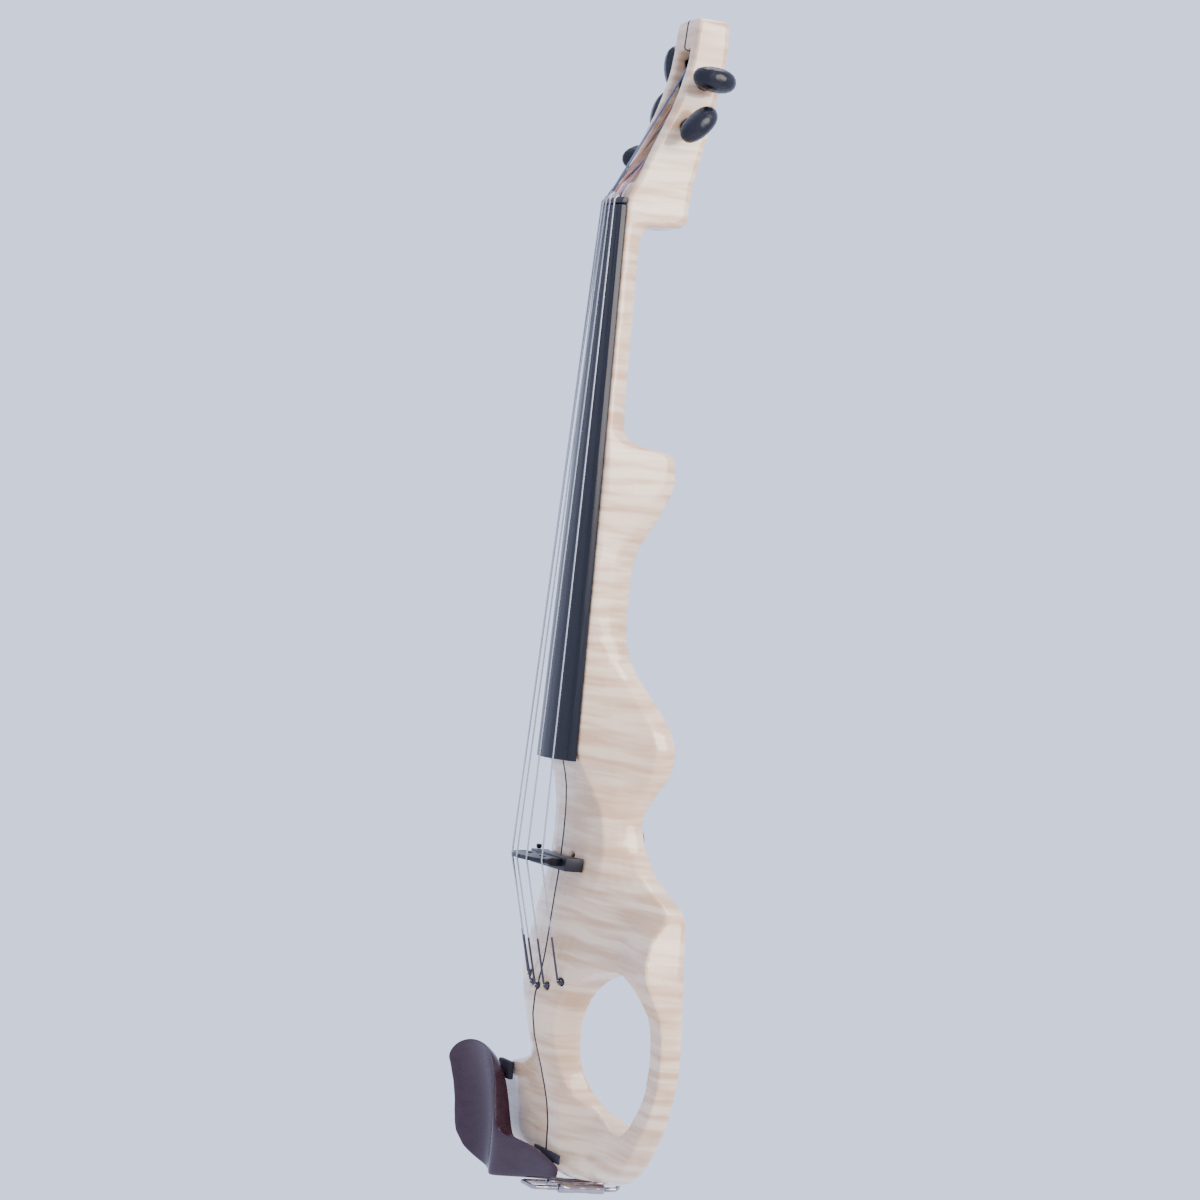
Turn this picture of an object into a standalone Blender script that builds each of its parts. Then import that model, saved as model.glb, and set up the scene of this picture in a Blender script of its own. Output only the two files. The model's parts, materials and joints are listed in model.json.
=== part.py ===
"""Five-string solid-body electric violin that hangs by its head.

The model is laid out as a maker measures it, in millimetres: x to the treble side, y from the glue
plane of the fingerboard towards the back, z up from the nut. One empty carries that frame, so the
world's origin is the hanging point on top of the head.
"""

import math

import bmesh
import bpy
import numpy as np
from mathutils import Matrix, Vector

MM = 0.001
GAP = 0.3

# Driving dimensions
STRING_LENGTH = 328.0
BOARD_LENGTH = 278.0
NUT_HALF_WIDTH = 12.5
BOARD_END_HALF_WIDTH = 21.5
BOARD_RADIUS = 42.0
BOARD_EDGE_NUT = 3.2
BOARD_EDGE_END = 4.0
HEAD_TOP = 97.0
HANG_Y = 36.0
BODY_END = -487.0
VENEER_HALF = 0.8
HALF_INNER_X = VENEER_HALF + GAP

STRING_COUNT = 5
STRING_RADIUS = 0.4
NUT_SPACING = 4.2
BRIDGE_SPACING = 10.3
ANCHOR_SPACING = 7.8
ANCHOR_DIRECTION = Vector((0.0, 0.91, -0.41)).normalized()
NUT_TOP_Y = -6.2
BRIDGE_TOP_Y = -18.0
BRIDGE_Z = -STRING_LENGTH

PEG_SHAFT_RADIUS = 3.2
PEG_HOLE_RADIUS = 3.5
PEG_TIP = 11.9
PEG_DRILL_LENGTH = 44.0
# Each peg: side it is turned from (+1 treble), y, z
PEGS = ((-1, 22.0, 29.0), (1, 27.5, 41.5), (-1, 31.0, 52.5), (1, 33.5, 64.5), (-1, 35.5, 76.0))
# How far each thumb-piece stands turned from upright when the strings are in tune, in degrees
PEG_REST_TURNS = (72.0, -42.0, 12.0, 86.0, -8.0)
# Half sizes of a thumb-piece; two neighbours in line still clear each other
THUMB_HALF_THICK = 7.4
THUMB_HALF_WIDE = 11.6
THUMB_HALF_DEEP = 8.8
THUMB_OFFSET = 27.0
SLOT_HALF_WIDTH = 7.6
WRAP_SPACING = 2.2
SLOT_DEPTH = 14.5

JACK = Vector((21.0, 36.4, -315.0))
CLAMP_CENTER_X = 4.0
CLAMP_HALF_SPACING = 8.0
CLAMP_Z = -490.4
BARREL_FRONT_Y = 17.0
BARREL_BACK_Y = 42.5

# Sections of the wood: front_y, facet_x, facet_y, mid_x, mid_y, side_x, side_y, back_y, round_x,
# round_y, keel_y at a height z. The front runs from (0, front_y) over the facet's edge and the middle
# point to the side, the back from an elliptic corner to the keel on the glue line.
HEAD_AND_NECK = {
    97.0: (28.8, 7.5, 29.0, 9.5, 29.6, 10.4, 31.0, 43.6, 4, 4, 43.9),
    96.2: (28.0, 10.5, 28.1, 12.4, 28.5, 13.2, 29.6, 45.0, 4, 4, 45.2),
    94.0: (27.7, 11.5, 27.8, 13.6, 28.1, 14.3, 29.0, 45.7, 4, 4, 45.9),
    84.0: (27.2, 11.8, 27.3, 13.9, 27.6, 14.5, 28.4, 46.2, 4, 4, 46.4),
    70.0: (25.6, 11.8, 25.7, 13.9, 26.1, 14.5, 26.9, 45.4, 4, 4, 45.7),
    58.0: (22.5, 11.7, 22.6, 13.8, 23.0, 14.4, 23.8, 43.2, 4, 4, 43.5),
    49.0: (19.6, 11.7, 19.7, 13.7, 20.1, 14.3, 20.9, 41.6, 4, 4, 42.0),
    38.0: (15.0, 11.6, 15.1, 13.6, 15.5, 14.2, 16.3, 40.0, 4, 4, 40.4),
    28.0: (10.9, 11.5, 11.0, 13.4, 11.4, 14.0, 12.2, 38.0, 4, 4, 38.4),
    20.0: (8.0, 11.4, 8.1, 13.1, 8.5, 13.7, 9.3, 36.3, 4, 4, 36.8),
    12.0: (4.8, 11.3, 4.9, 12.8, 5.3, 13.4, 6.1, 35.2, 4, 4, 35.7),
    6.0: (1.4, 11.2, 1.5, 12.6, 1.9, 13.1, 2.7, 34.7, 4, 4, 35.2),
    2.0: (0.3, 11.2, 0.3, 12.4, 0.7, 12.9, 1.5, 34.5, 4, 4, 35.0),
    -5.0: (0.3, 11.4, 0.3, 12.4, 0.6, 12.9, 1.4, 34.8, 5, 5, 35.3),
    -8.4: (0.3, 11.6, 0.3, 12.5, 0.6, 12.9, 1.4, 32.6, 7, 7, 33.0),
    -9.6: (0.3, 11.7, 0.3, 12.5, 0.6, 12.9, 1.4, 27.0, 9, 10, 27.5),
    -10.2: (0.3, 11.8, 0.3, 12.5, 0.6, 12.9, 1.4, 19.0, 11, 13, 19.5),
    -12.5: (0.3, 12.0, 0.3, 12.6, 0.6, 12.9, 1.4, 14.3, 12.3, 12, 14.6),
    -17.0: (0.3, 12.2, 0.3, 12.8, 0.6, 13.0, 1.4, 12.3, 12.4, 10.5, 12.3),
    -60.0: (0.3, 13.6, 0.3, 14.2, 0.6, 14.4, 1.4, 12.7, 13.8, 10.9, 12.7),
    -112.0: (0.3, 15.3, 0.3, 15.9, 0.6, 16.1, 1.4, 13.8, 15.5, 12.0, 13.8),
}
HEEL_AND_WAIST = {
    -115.0: (0.3, 15.4, 0.3, 16.0, 0.6, 16.3, 1.4, 15.6, 15.4, 13.5, 15.7),
    -118.0: (0.3, 15.6, 0.3, 16.2, 0.6, 16.7, 1.4, 19.5, 14, 13, 19.8),
    -120.0: (0.3, 15.8, 0.3, 16.4, 0.6, 17.2, 1.4, 27.5, 12, 11, 28.0),
    -121.2: (0.3, 15.9, 0.3, 16.6, 0.6, 17.6, 1.4, 36.5, 10, 8, 37.0),
    -124.0: (0.3, 16.0, 0.3, 16.8, 0.6, 18.0, 1.4, 40.6, 9, 8, 41.2),
    -131.0: (0.3, 16.2, 0.3, 17.0, 0.7, 18.2, 1.6, 41.8, 9, 8, 42.6),
    -139.0: (0.3, 16.5, 0.3, 17.3, 0.7, 18.3, 1.6, 41.4, 9, 8, 42.2),
    -147.0: (0.3, 16.8, 0.3, 17.6, 0.7, 18.4, 1.6, 38.6, 10, 9, 39.3),
    -155.0: (0.3, 17.0, 0.3, 17.8, 0.7, 18.4, 1.6, 35.0, 10, 10, 35.6),
    -169.0: (0.3, 17.5, 0.3, 18.1, 0.7, 18.6, 1.6, 27.2, 11, 12, 27.8),
    -178.0: (0.3, 17.8, 0.3, 18.4, 0.7, 18.9, 1.6, 24.7, 12, 13, 25.2),
    -196.0: (0.3, 18.4, 0.3, 19.0, 0.8, 19.4, 1.8, 24.1, 12, 14, 24.6),
    -216.0: (0.3, 19.0, 0.3, 19.8, 2.5, 20.3, 6.5, 24.7, 12, 13, 25.2),
    -226.0: (0.3, 19.4, 0.3, 20.8, 6.0, 21.9, 13.0, 27.2, 11, 12, 27.6),
    -235.0: (0.3, 19.7, 0.3, 22.5, 9.0, 25.2, 19.0, 31.2, 9, 10, 31.6),
    -244.0: (0.3, 20.0, 0.3, 25.0, 11.5, 30.2, 24.0, 36.5, 8, 9, 36.8),
    -252.0: (0.3, 20.3, 0.3, 27.5, 13.5, 35.2, 28.0, 41.2, 8, 8, 41.4),
    -260.0: (0.3, 20.5, 0.3, 30.0, 15.0, 39.5, 31.5, 44.7, 8, 8, 44.9),
    -267.0: (0.3, 20.7, 0.3, 31.2, 16.0, 41.5, 33.5, 46.6, 8, 8, 46.9),
    -273.0: (0.4, 20.8, 0.5, 31.6, 16.6, 41.8, 33.8, 46.8, 8, 8, 47.1),
    -279.0: (1.4, 20.8, 2.2, 31.7, 17.2, 41.0, 33.4, 46.2, 8, 8, 46.5),
    -284.0: (3.0, 22.0, 4.8, 31.8, 17.8, 39.5, 32.2, 44.6, 8, 8, 44.9),
    -291.0: (4.5, 25.5, 8.2, 32.0, 18.4, 36.9, 29.8, 41.0, 8, 8, 41.3),
    -300.0: (5.3, 30.0, 11.7, 33.3, 19.2, 35.1, 26.2, 36.6, 8, 8, 37.0),
    -306.0: (5.5, 32.0, 12.8, 33.9, 19.4, 34.9, 25.2, 35.6, 8, 8, 36.2),
    -314.0: (5.6, 33.5, 13.8, 35.2, 19.8, 36.2, 25.6, 36.6, 7, 7, 36.8),
}
TREBLE_BOUT = {
    -320.0: (5.5, 34.0, 14.2, 36.8, 20.2, 38.6, 26.4, 37.8, 7, 7, 37.6),
    -330.0: (5.3, 34.0, 13.6, 40.5, 20.6, 47.5, 28.4, 39.8, 6, 6, 38.6),
    -336.0: (4.9, 33.0, 12.6, 45.0, 21.5, 57.5, 30.8, 42.0, 6, 6, 38.8),
    -341.0: (4.5, 31.5, 11.8, 50.0, 22.4, 68.5, 32.4, 43.2, 5, 5, 38.0),
    -345.0: (4.2, 30.0, 11.0, 52.5, 22.6, 76.0, 33.0, 43.6, 4, 4, 37.0),
    -350.0: (3.9, 28.0, 10.3, 53.0, 21.6, 79.0, 31.2, 43.6, 4, 4, 35.6),
    -354.0: (3.6, 27.0, 9.9, 53.0, 20.8, 80.2, 27.6, 43.5, 4, 4, 34.4),
    -359.0: (3.3, 26.0, 9.5, 53.0, 20.0, 81.2, 24.0, 43.4, 4, 4, 32.6),
    -366.0: (3.0, 24.0, 9.0, 53.0, 19.6, 82.4, 21.8, 43.4, 4, 4, 30.0),
    -373.0: (2.5, 22.0, 8.3, 53.0, 19.9, 83.5, 21.2, 43.4, 4, 4, 27.2),
    -380.0: (1.8, 20.0, 7.3, 53.0, 21.0, 84.5, 22.6, 43.5, 4, 4, 24.4),
    -387.0: (0.9, 17.5, 6.5, 54.0, 24.0, 85.3, 26.2, 43.7, 4, 4, 21.8),
    -396.0: (-0.8, 14.8, 5.3, 58.0, 29.0, 86.1, 30.6, 44.1, 4, 4, 19.4),
    -406.0: (-0.9, 14.0, 5.3, 60.0, 31.4, 86.5, 32.2, 44.6, 4, 4, 18.0),
    -418.0: (1.6, 13.5, 6.5, 60.0, 32.4, 86.0, 33.2, 45.1, 4, 4, 18.0),
    -432.0: (6.4, 13.0, 10.0, 55.0, 33.2, 82.6, 33.6, 45.7, 4, 4, 20.6),
    -441.0: (9.2, 12.5, 11.8, 42.0, 32.4, 78.6, 33.7, 46.1, 4, 4, 25.0),
    -447.0: (10.9, 12.0, 12.6, 28.0, 28.6, 75.2, 33.6, 46.4, 4, 4, 29.4),
    -452.0: (12.0, 12.0, 13.4, 27.0, 27.0, 71.8, 33.5, 46.7, 4, 4, 33.0),
    -457.0: (12.9, 12.0, 14.3, 28.0, 26.2, 68.0, 33.4, 46.9, 4, 4, 36.4),
    -464.0: (13.6, 12.0, 15.0, 28.0, 25.2, 62.0, 33.4, 47.2, 4, 4, 41.0),
    -470.0: (13.6, 12.0, 15.0, 28.0, 24.8, 55.8, 33.6, 47.5, 4, 4, 44.4),
    -475.0: (13.8, 12.0, 15.6, 27.0, 25.4, 49.6, 34.2, 47.8, 4, 4, 46.6),
    -479.0: (15.0, 12.0, 17.4, 25.0, 27.4, 43.6, 35.4, 48.0, 4, 4, 47.8),
    -483.0: (18.8, 11.0, 21.8, 21.0, 31.2, 35.6, 38.0, 47.9, 4, 4, 47.9),
    -486.0: (25.0, 9.0, 27.6, 16.0, 35.6, 26.0, 40.6, 47.0, 4, 4, 47.2),
    -487.0: (31.0, 7.0, 33.0, 11.0, 38.0, 17.0, 41.8, 45.0, 3, 3, 45.4),
}
BASS_BOUT = {
    -320.0: (5.5, 34.0, 14.2, 36.2, 20.0, 37.4, 26.0, 37.2, 7, 7, 37.4),
    -330.0: (5.3, 34.5, 13.2, 37.6, 19.4, 39.2, 25.4, 37.2, 7, 7, 37.8),
    -346.0: (4.2, 36.0, 10.8, 40.2, 16.6, 42.4, 22.4, 35.6, 7, 7, 36.4),
    -362.0: (3.2, 38.0, 9.4, 42.2, 14.2, 44.2, 19.6, 32.2, 7, 7, 32.0),
    -373.0: (2.5, 39.0, 8.0, 42.8, 12.6, 44.8, 17.6, 29.0, 7, 6, 27.4),
    -384.0: (1.3, 38.2, 6.2, 41.6, 10.4, 43.2, 14.8, 25.4, 6, 6, 23.0),
    -396.0: (-0.8, 32.4, 5.0, 35.6, 8.8, 37.0, 12.4, 22.0, 6, 5, 19.4),
    -406.0: (-0.9, 23.4, 4.2, 26.0, 7.6, 27.0, 10.6, 19.6, 5, 5, 18.0),
    -416.0: (0.9, 15.2, 3.6, 17.0, 6.6, 17.6, 9.4, 18.6, 5, 5, 18.0),
    -424.0: (3.8, 13.6, 5.6, 15.4, 8.4, 16.0, 11.0, 19.4, 5, 5, 18.6),
    -428.0: (5.2, 15.4, 6.4, 18.8, 9.0, 20.0, 11.4, 21.0, 5, 5, 19.6),
    -432.0: (6.4, 22.0, 7.2, 30.5, 9.2, 32.5, 11.6, 22.4, 5, 5, 20.6),
    -436.0: (7.6, 32.0, 8.2, 47.5, 9.6, 50.0, 12.2, 23.8, 5, 5, 22.4),
    -441.0: (9.2, 38.0, 9.4, 57.5, 10.6, 60.0, 13.0, 25.6, 5, 5, 25.0),
    -450.0: (11.6, 42.0, 11.6, 63.5, 12.4, 66.0, 14.8, 28.6, 5, 5, 31.6),
    -460.0: (13.2, 42.0, 13.4, 65.0, 14.0, 67.5, 16.4, 32.6, 5, 5, 38.4),
    -470.0: (13.6, 40.0, 14.0, 61.5, 14.8, 64.0, 17.2, 37.6, 5, 5, 44.4),
    -475.0: (13.8, 36.0, 14.6, 55.0, 16.0, 57.5, 18.6, 41.0, 5, 5, 46.6),
    -479.0: (15.0, 32.0, 16.2, 46.5, 18.4, 49.0, 21.6, 43.6, 5, 5, 47.8),
    -483.0: (18.8, 25.0, 20.4, 35.5, 23.4, 38.0, 27.6, 45.6, 5, 5, 47.9),
    -486.0: (25.0, 15.0, 26.6, 23.0, 30.0, 25.5, 35.0, 46.0, 4, 4, 47.2),
    -487.0: (31.0, 9.0, 32.6, 13.5, 36.0, 16.0, 39.6, 45.0, 3, 3, 45.4),
}

# The opening in the treble bout, seen from the front: x, z round its edge
LOOP_OPENING = (
    (14.0, -412.0), (15.6, -399.5), (20.5, -390.5), (30.0, -382.6), (43.0, -378.6), (56.0, -378.4),
    (66.0, -382.6), (71.6, -392.0), (73.4, -406.0), (72.6, -420.0), (68.8, -434.0), (62.4, -446.0),
    (54.0, -455.6), (46.0, -457.6), (35.0, -452.6), (24.0, -447.6), (17.0, -439.0), (14.4, -427.0),
)

# How much further back the cup's low edge lies than its high edge; it leans about the wing's cork
CUP_LEAN = 7.0
WING_CORK_Z = -441.0
CUP_START_X = -33.0
CUP_FULL_X = -50.0
# Chin rest, station by station along x: x, z_high, z_low, rim_y, dish, back_y
CHINREST = (
    (23.0, -478.5, -483.5, 10.6, 0.0, 12.2), (19.0, -476.6, -485.4, 9.4, 0.0, 12.2),
    (10.0, -474.4, -486.8, 7.6, 0.0, 12.2), (0.0, -472.2, -488.2, 5.4, 0.0, 12.0),
    (-12.0, -471.0, -490.2, 2.4, 0.0, 10.8), (-24.0, -470.4, -492.2, -1.2, 0.0, 9.4),
    (-33.0, -468.0, -493.6, -3.8, 0.4, 8.4), (-37.0, -447.0, -493.6, -4.4, 1.4, 6.2),
    (-41.0, -434.5, -493.4, -4.4, 3.4, 5.2), (-50.0, -428.6, -492.6, -5.0, 6.4, 5.0),
    (-60.0, -426.8, -490.8, -6.8, 7.6, 4.4), (-70.0, -428.4, -487.4, -9.8, 7.2, 1.4),
    (-78.0, -433.0, -481.8, -12.6, 5.4, -3.6), (-83.0, -440.0, -473.6, -14.2, 2.6, -8.6),
)

BLACK = ("ebony", (0.012, 0.012, 0.016), 0.32, 0.0)
MAPLE = ("lacquered_maple", (0.80, 0.66, 0.55), 0.22, 0.0)
VENEER = ("dark_veneer", (0.06, 0.04, 0.035), 0.4, 0.0)
ROSEWOOD = ("rosewood", (0.075, 0.035, 0.05), 0.38, 0.0)
STEEL = ("string_steel", (0.75, 0.76, 0.78), 0.3, 1.0)
CHROME = ("chrome", (0.8, 0.8, 0.82), 0.12, 1.0)
CORK = ("black_cork", (0.02, 0.015, 0.02), 0.85, 0.0)
WIRE = ("wire_insulation", (0.03, 0.03, 0.03), 0.5, 0.0)


def clear_scene():
    for old in list(bpy.data.objects):
        bpy.data.objects.remove(old, do_unlink=True)


def new_collection(name):
    found = bpy.data.collections.new(name)
    bpy.context.scene.collection.children.link(found)
    return found


def material(recipe):
    name, color, roughness, metallic = recipe
    if name in bpy.data.materials:
        return bpy.data.materials[name]
    made = bpy.data.materials.new(name)
    made.use_nodes = True
    shader = made.node_tree.nodes["Principled BSDF"]
    shader.inputs["Base Color"].default_value = (*color, 1.0)
    shader.inputs["Roughness"].default_value = roughness
    shader.inputs["Metallic"].default_value = metallic
    return made


def place(name, data, recipe=None, at=(0, 0, 0), turn=None):
    """A named object in the maker's frame; without a material it is a cutter."""
    obj = bpy.data.objects.new(name, data)
    (parts if recipe else cutters).objects.link(obj)
    obj.parent = rig
    obj.matrix_basis = Matrix.Translation(Vector(at) * MM) @ (turn or Matrix())
    if recipe:
        data.materials.append(material(recipe))
    else:
        obj.hide_render = True
        obj.display_type = "WIRE"
    return obj


def mesh_of(bm, name, smooth_angle=35.0):
    bmesh.ops.recalc_face_normals(bm, faces=bm.faces)
    if bm.calc_volume(signed=True) < 0:
        bmesh.ops.reverse_faces(bm, faces=bm.faces)
    mesh = bpy.data.meshes.new(name)
    bm.to_mesh(mesh)
    bm.free()
    mesh.shade_smooth()
    mesh.set_sharp_from_angle(angle=math.radians(smooth_angle))
    return mesh


def lofted(name, rings):
    """A closed skin over rings of equally many points, in millimetres."""
    bm = bmesh.new()
    rows = [[bm.verts.new(Vector(p) * MM) for p in ring] for ring in rings]
    count = len(rows[0])
    for low, high in zip(rows, rows[1:]):
        for i in range(count):
            j = (i + 1) % count
            bm.faces.new((low[i], low[j], high[j], high[i]))
    bm.faces.new(rows[0])
    bm.faces.new(rows[-1])
    return mesh_of(bm, name)


def prism(name, outline, thickness):
    """A flat outline in x, y given a thickness along z, centred."""
    curve = bpy.data.curves.new(name + "_outline", "CURVE")
    curve.dimensions = "2D"
    curve.fill_mode = "BOTH"
    curve.extrude = 0.5 * thickness * MM
    line = curve.splines.new("POLY")
    line.points.add(len(outline) - 1)
    for point, (x, y) in zip(line.points, outline):
        point.co = (x * MM, y * MM, 0.0, 1.0)
    line.use_cyclic_u = True
    return welded_mesh(name, curve)


def rod(name, points, radius, sides_level=1):
    """A round bar along points, in millimetres."""
    curve = bpy.data.curves.new(name + "_path", "CURVE")
    curve.dimensions = "3D"
    curve.bevel_depth = radius * MM
    curve.bevel_resolution = sides_level
    curve.use_fill_caps = True
    line = curve.splines.new("POLY")
    line.points.add(len(points) - 1)
    for point, at in zip(line.points, points):
        point.co = (*(Vector(at) * MM), 1.0)
    return welded_mesh(name, curve)


def welded_mesh(name, curve):
    """A curve's evaluated shape as one closed mesh; the curve is removed."""
    holder = bpy.data.objects.new(name + "_curve", curve)
    bpy.context.scene.collection.objects.link(holder)
    graph = bpy.context.evaluated_depsgraph_get()
    mesh = bpy.data.meshes.new_from_object(holder.evaluated_get(graph))
    bpy.data.objects.remove(holder)
    bm = bmesh.new()
    bm.from_mesh(mesh)
    bmesh.ops.remove_doubles(bm, verts=bm.verts, dist=0.005 * MM)
    return mesh_of(bm, name)


def turned(name, profile, steps, recipe, at, turn):
    """A lathe-turned piece: profile of (radius, z) from top to bottom, on the object's z axis."""
    mesh = bpy.data.meshes.new(name)
    points = [(radius * MM, 0.0, z * MM) for radius, z in profile]
    mesh.from_pydata(points, [(i, i + 1) for i in range(len(points) - 1)], [])
    obj = place(name, mesh, recipe, at, turn)
    screw = obj.modifiers.new("Lathe", "SCREW")
    screw.steps = screw.render_steps = steps
    screw.use_merge_vertices = True
    screw.merge_threshold = 0.00001
    return obj


def cylinder_mesh(name, radius, length, sides=20):
    bm = bmesh.new()
    bmesh.ops.create_cone(
        bm, cap_ends=True, segments=sides, radius1=radius * MM, radius2=radius * MM, depth=length * MM
    )
    return mesh_of(bm, name)


def box_mesh(name, size, bevel):
    bm = bmesh.new()
    bmesh.ops.create_cube(bm, size=1.0)
    bmesh.ops.scale(bm, vec=Vector(size) * MM, verts=bm.verts)
    bmesh.ops.bevel(bm, geom=bm.edges, offset=bevel * MM, segments=2, affect="EDGES", profile=0.5)
    return mesh_of(bm, name)


def cut(obj, cutter):
    """A cut by the manifold solver, because the exact one turns the thin-edged bass half inside out."""
    boolean = obj.modifiers.new("Cut " + cutter.name, "BOOLEAN")
    boolean.operation = "DIFFERENCE"
    boolean.solver = "MANIFOLD"
    boolean.object = cutter


def along(direction):
    """The turn that lays an object's z axis along a direction."""
    return Vector(direction).to_track_quat("Z", "Y").to_matrix().to_4x4()


def section_at(stations, z):
    """The section between its stations by monotone cubic interpolation, one column at a time."""
    heights = np.array(sorted(stations))
    rows = np.array([stations[h] for h in heights], float)
    spans = np.diff(heights)[:, None]
    slopes = np.diff(rows, axis=0) / spans
    tangents = np.zeros_like(rows)
    agree = slopes[:-1] * slopes[1:] > 0
    mean = 2 * slopes[:-1] * slopes[1:] / np.where(agree, slopes[:-1] + slopes[1:], 1.0)
    tangents[1:-1] = np.where(agree, mean, 0.0)
    i = int(np.clip(np.searchsorted(heights, z) - 1, 0, len(spans) - 1))
    span = spans[i, 0]
    t = (z - heights[i]) / span
    return (
        rows[i] * (1 + 2 * t) * (1 - t) ** 2
        + tangents[i] * span * t * (1 - t) ** 2
        + rows[i + 1] * t * t * (3 - 2 * t)
        + tangents[i + 1] * span * t * t * (t - 1)
    )


def spline_point(knots, t):
    """A point on the Catmull-Rom curve through knots, t from 0 to 1 over the whole curve."""
    last = len(knots) - 2
    i = min(int(t * (last + 1)), last)
    f = t * (last + 1) - i
    a, b, c, d = (knots[max(0, min(k, last + 1))] for k in (i - 1, i, i + 1, i + 2))
    return tuple(
        0.5 * (2 * b[k] + (c[k] - a[k]) * f + (2 * a[k] - 5 * b[k] + 4 * c[k] - d[k]) * f**2
               + (3 * b[k] - a[k] - 3 * c[k] + d[k]) * f**3)
        for k in range(len(b))
    )


def half_ring(stations, z, side):
    """The outline of one half of the wood at height z, from the glue line round the side and back."""
    front_y, facet_x, facet_y, mid_x, mid_y, side_x, side_y, back_y, round_x, round_y, keel_y = section_at(
        stations, z
    )
    round_x = min(round_x, side_x - HALF_INNER_X - 1.0)
    ring = [(HALF_INNER_X, front_y)]
    ring += [(facet_x * k / 3, front_y + (facet_y - front_y) * (k / 3) ** 2) for k in (1, 2, 3)]
    ring += [((facet_x + mid_x) / 2, (facet_y + mid_y) / 2), (mid_x, mid_y)]
    ring += [((mid_x + side_x) / 2, (mid_y + side_y) / 2), (side_x, side_y)]
    for k in range(5):
        angle = k / 4 * math.pi / 2
        ring.append((side_x - round_x * (1 - math.cos(angle)), back_y - round_y * (1 - math.sin(angle))))
    inner_end = side_x - round_x
    for k in (0.66, 0.33):
        ease = k * k * (3 - 2 * k)
        ring.append((HALF_INNER_X + (inner_end - HALF_INNER_X) * k, keel_y + (back_y - keel_y) * ease))
    ring.append((HALF_INNER_X, keel_y))
    return [(side * x, y, z) for x, y in ring]


def levels(stations):
    """Heights at which the wood is drawn: every station, and one between stations far apart."""
    heights = sorted(stations)
    found = []
    for low, high in zip(heights, heights[1:]):
        pieces = max(1, round((high - low) / 9.0))
        found += [low + (high - low) * k / pieces for k in range(pieces)]
    return found + [heights[-1]]


def board_half_width(z):
    return NUT_HALF_WIDTH + (BOARD_END_HALF_WIDTH - NUT_HALF_WIDTH) * -z / BOARD_LENGTH


def front_y_at(stations, z):
    return float(section_at(stations, z)[0])


def make_wood(treble, bass):
    halves = []
    for name, stations, side in (("body_treble_half", treble, 1), ("body_bass_half", bass, -1)):
        rings = [half_ring(stations, z, side) for z in levels(stations)]
        halves.append(place(name, lofted(name, rings), MAPLE))
    heights = levels(treble)
    front = [(front_y_at(treble, z), z) for z in heights]
    keel = [(float(section_at(treble, z)[10]), z) for z in reversed(heights)]
    lies_in_yz = Matrix(((0, 0, 1, 0), (1, 0, 0, 0), (0, 1, 0, 0), (0, 0, 0, 1)))
    sheet = prism("center_veneer", front + keel, 2 * VENEER_HALF)
    veneer = place("center_veneer", sheet, VENEER, turn=lies_in_yz)

    slot_heights = [9.0 + 5.0 * k for k in range(16)]
    slot = [(front_y_at(treble, z) - 12.0, z) for z in slot_heights]
    slot += [(front_y_at(treble, z) + SLOT_DEPTH, z) for z in reversed(slot_heights[1:-1])]
    slot_cutter = place("peg_slot_cutter", prism("peg_slot", slot, 2 * SLOT_HALF_WIDTH), turn=lies_in_yz)
    for piece in (*halves, veneer):
        cut(piece, slot_cutter)

    for number, (side, y, z) in enumerate(PEGS, 1):
        hole = cylinder_mesh("peg_hole", PEG_HOLE_RADIUS, PEG_DRILL_LENGTH)
        middle_x = side * (PEG_DRILL_LENGTH / 2 - PEG_TIP - GAP)
        drill = place(f"peg_drill_{number}", hole, at=(middle_x, y, z), turn=along((1, 0, 0)))
        for half in halves:
            cut(half, drill)

    loop_turn = Matrix.Rotation(math.pi / 2, 4, "X")
    knots = list(LOOP_OPENING)
    count = len(knots)
    rounded = []
    for i in range(count):
        four = [knots[(i + k) % count] for k in (-1, 0, 1, 2)]
        rounded += [spline_point(four, (1 + f) / 3) for f in (0.0, 0.5)]
    loop = place("loop_cutter", prism("loop_opening", rounded, 200.0), turn=loop_turn)
    cut(halves[0], loop)
    return halves, veneer


def board_ring(z):
    half = board_half_width(z)
    edge = BOARD_EDGE_NUT + (BOARD_EDGE_END - BOARD_EDGE_NUT) * -z / BOARD_LENGTH
    rise = math.sqrt(BOARD_RADIUS**2 - half**2)
    ring = [(half, 0.0, z), (half, -edge, z)]
    for k in range(1, 10):
        x = half * math.cos(math.pi * k / 10)
        ring.append((x, -edge - (math.sqrt(BOARD_RADIUS**2 - x**2) - rise), z))
    return ring + [(-half, -edge, z), (-half, 0.0, z)]


def make_fingerboard_and_nut():
    rings = [board_ring(-BOARD_LENGTH), board_ring(-BOARD_LENGTH / 2), board_ring(-1.0)]
    place("fingerboard", lofted("fingerboard", rings), BLACK)
    half = NUT_HALF_WIDTH
    top = []
    for k in range(13):
        x = half * math.cos(math.pi * k / 12)
        top.append((x, NUT_TOP_Y + STRING_RADIUS + GAP + (BOARD_RADIUS - math.sqrt(BOARD_RADIUS**2 - x**2))))
    outline = [(half, 0.0), *top, (-half, 0.0)]
    low = [(x, y, -0.6) for x, y in outline]
    high = [(x, min(y + 1.6, 0.0), 2.6) for x, y in outline]
    place("nut", lofted("nut", [low, high]), BLACK)


def bridge_crown_y(x):
    return BRIDGE_TOP_Y + BOARD_RADIUS - math.sqrt(BOARD_RADIUS**2 - x**2)


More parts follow.
